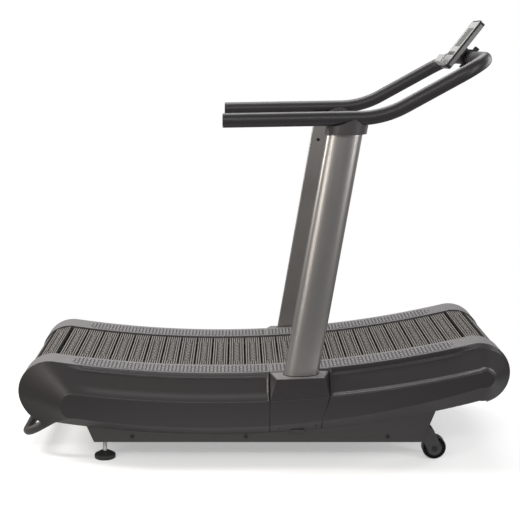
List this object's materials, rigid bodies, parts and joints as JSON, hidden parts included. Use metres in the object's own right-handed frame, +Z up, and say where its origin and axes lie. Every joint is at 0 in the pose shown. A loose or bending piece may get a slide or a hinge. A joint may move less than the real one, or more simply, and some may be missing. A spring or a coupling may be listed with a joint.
{
  "type": "curved manual treadmill",
  "caption": "Motorless curved treadmill: a slat belt on a concave deck between grey foot rails, black side covers, leaning silver uprights, a U-shaped handlebar and a small tilting console.",
  "frame": {"origin": "on the floor under the middle of the overall box", "axes": "+X forwards to the console and the transport wheels, +Y to the runner's left, +Z up"},
  "size_m": [1.7759, 0.832, 1.5714],
  "materials": {
    "frame_dark": "satin powder coat",
    "steel_bright": "bright zinc",
    "cover_black": "satin moulded",
    "rail_grey": "raised grip texture",
    "upright_silver": "satin anodised extrusion",
    "bracket_charcoal": "satin moulded",
    "tube_steel": "plain",
    "sleeve_black": "smooth satin",
    "bolt_black": "black oxide",
    "wheel_black": "satin",
    "drum_alloy": "turned",
    "slat_rubber": "fine ribs along each slat",
    "belt_black": "plain",
    "console_silver": "silver paint",
    "console_window": "polished dark window",
    "button_grey": "soft touch"
  },
  "bodies": {
    "frame": {"right_skirt_plate": "frame_dark", "left_skirt_plate": "frame_dark", "right_side_beam": "frame_dark", "left_side_beam": "frame_dark", "frame_cross_tubes": "frame_dark", "rear_lift_handle": "frame_dark", "guide_rails": "steel_bright", "guide_bearings": "steel_bright", "drum_bearing_blocks": "steel_bright", "right_rear_cover": "cover_black", "left_rear_cover": "cover_black", "right_post_cover": "cover_black", "left_post_cover": "cover_black", "right_front_cover": "cover_black", "left_front_cover": "cover_black", "right_rear_rail": "rail_grey", "left_rear_rail": "rail_grey", "right_front_rail": "rail_grey", "left_front_rail": "rail_grey", "right_upright": "upright_silver", "left_upright": "upright_silver", "right_handle_bracket": "bracket_charcoal", "left_handle_bracket": "bracket_charcoal", "handlebar_tube": "tube_steel", "handlebar_sleeve": "sleeve_black", "handlebar_end_caps": "bracket_charcoal", "upright_bolts": "bolt_black", "frame_bolts": "bolt_black", "right_wheel_bracket": "frame_dark", "left_wheel_bracket": "frame_dark", "wheel_axles": "steel_bright", "foot_lock_nuts": "steel_bright"},
    "front_roller": {"front_drum": "drum_alloy", "front_wrap_slats": "slat_rubber", "front_wrap_belts": "belt_black"},
    "rear_roller": {"rear_drum": "drum_alloy", "rear_wrap_slats": "slat_rubber", "rear_wrap_belts": "belt_black"},
    "top_run": {"top_run_slats": "slat_rubber", "top_run_belts": "belt_black"},
    "bottom_run": {"bottom_run_slats": "slat_rubber", "bottom_run_belts": "belt_black"},
    "right_transport_wheel": {"right_wheel": "wheel_black"},
    "left_transport_wheel": {"left_wheel": "wheel_black"},
    "right_foot": {"right_foot_pad": "wheel_black"},
    "left_foot": {"left_foot_pad": "wheel_black"},
    "right_stem": {"right_foot_stem": "steel_bright"},
    "left_stem": {"left_foot_stem": "steel_bright"},
    "console": {"console_bracket": "bracket_charcoal", "console_clamp_cap": "bracket_charcoal", "console_back": "console_silver", "console_bezel": "bracket_charcoal", "console_face": "console_silver", "console_screen": "console_window", "console_shelf": "console_silver"},
    "battery_cover": {"battery_door": "console_silver"},
    "start_key": {"start_button": "button_grey"},
    "stop_key": {"stop_button": "button_grey"},
    "up_key": {"up_button": "button_grey"},
    "down_key": {"down_button": "button_grey"}
  },
  "joints": [
    {"name": "front_roller_spin", "type": "hinge", "parent": "frame", "child": "front_roller", "pos_m": [0.776, 0, 0.313], "axis": [0, 1, 0], "range_deg": [-21, 21]},
    {"name": "rear_roller_spin", "type": "hinge", "parent": "frame", "child": "rear_roller", "pos_m": [-0.776, 0, 0.243], "axis": [0, 1, 0], "range_deg": [-21, 21]},
    {"name": "top_run_travel", "type": "hinge", "parent": "frame", "child": "top_run", "pos_m": [-0.18194, 0, 4.31186], "axis": [0, 1, 0], "range_deg": [-0.443, 0.443]},
    {"name": "bottom_run_travel", "type": "hinge", "parent": "frame", "child": "bottom_run", "pos_m": [-0.26411, 0, 6.1338], "axis": [0, 1, 0], "range_deg": [-0.31, 0.31]},
    {"name": "right_wheel_spin", "type": "hinge", "parent": "frame", "child": "right_transport_wheel", "pos_m": [0.616, -0.353, 0.043], "axis": [0, 1, 0], "continuous": true},
    {"name": "left_wheel_spin", "type": "hinge", "parent": "frame", "child": "left_transport_wheel", "pos_m": [0.616, 0.353, 0.043], "axis": [0, 1, 0], "continuous": true},
    {"name": "right_foot_height", "type": "slide", "parent": "frame", "child": "right_foot", "axis": [0, 0, 1], "range_m": [-0.02, 0.015]},
    {"name": "right_stem_turn", "type": "hinge", "parent": "right_foot", "child": "right_stem", "pos_m": [-0.578, -0.352, 0.07], "axis": [0, 0, 1], "range_deg": [-3660, 2760]},
    {"name": "left_foot_height", "type": "slide", "parent": "frame", "child": "left_foot", "axis": [0, 0, 1], "range_m": [-0.02, 0.015]},
    {"name": "left_stem_turn", "type": "hinge", "parent": "left_foot", "child": "left_stem", "pos_m": [-0.578, 0.352, 0.07], "axis": [0, 0, 1], "range_deg": [-3660, 2760]},
    {"name": "console_tilt", "type": "hinge", "parent": "frame", "child": "console", "pos_m": [0.762, 0, 1.434], "axis": [0, 1, 0], "range_deg": [-20, 20]},
    {"name": "battery_door_lift", "type": "slide", "parent": "console", "child": "battery_cover", "axis": [0.7944, 0, -0.6074], "range_m": [0, 0.025]},
    {"name": "start_press", "type": "slide", "parent": "console", "child": "start_key", "axis": [0.7944, 0, -0.6074], "range_m": [0, 0.0015], "stiffness_N_per_m": 600, "springref_m": -0.0015},
    {"name": "stop_press", "type": "slide", "parent": "console", "child": "stop_key", "axis": [0.7944, 0, -0.6074], "range_m": [0, 0.0015], "stiffness_N_per_m": 600, "springref_m": -0.0015},
    {"name": "up_press", "type": "slide", "parent": "console", "child": "up_key", "axis": [0.7944, 0, -0.6074], "range_m": [0, 0.0015], "stiffness_N_per_m": 600, "springref_m": -0.0015},
    {"name": "down_press", "type": "slide", "parent": "console", "child": "down_key", "axis": [0.7944, 0, -0.6074], "range_m": [0, 0.0015], "stiffness_N_per_m": 600, "springref_m": -0.0015}
  ],
  "couplings": [
    {"joint": "front_roller_spin", "follows": "top_run_travel", "ratio": -46.264},
    {"joint": "rear_roller_spin", "follows": "top_run_travel", "ratio": -46.264},
    {"joint": "bottom_run_travel", "follows": "top_run_travel", "ratio": -0.67083},
    {"joint": "right_stem_turn", "follows": "right_foot_height", "rad_per_m": 3141.6},
    {"joint": "left_stem_turn", "follows": "left_foot_height", "rad_per_m": 3141.6}
  ]
}
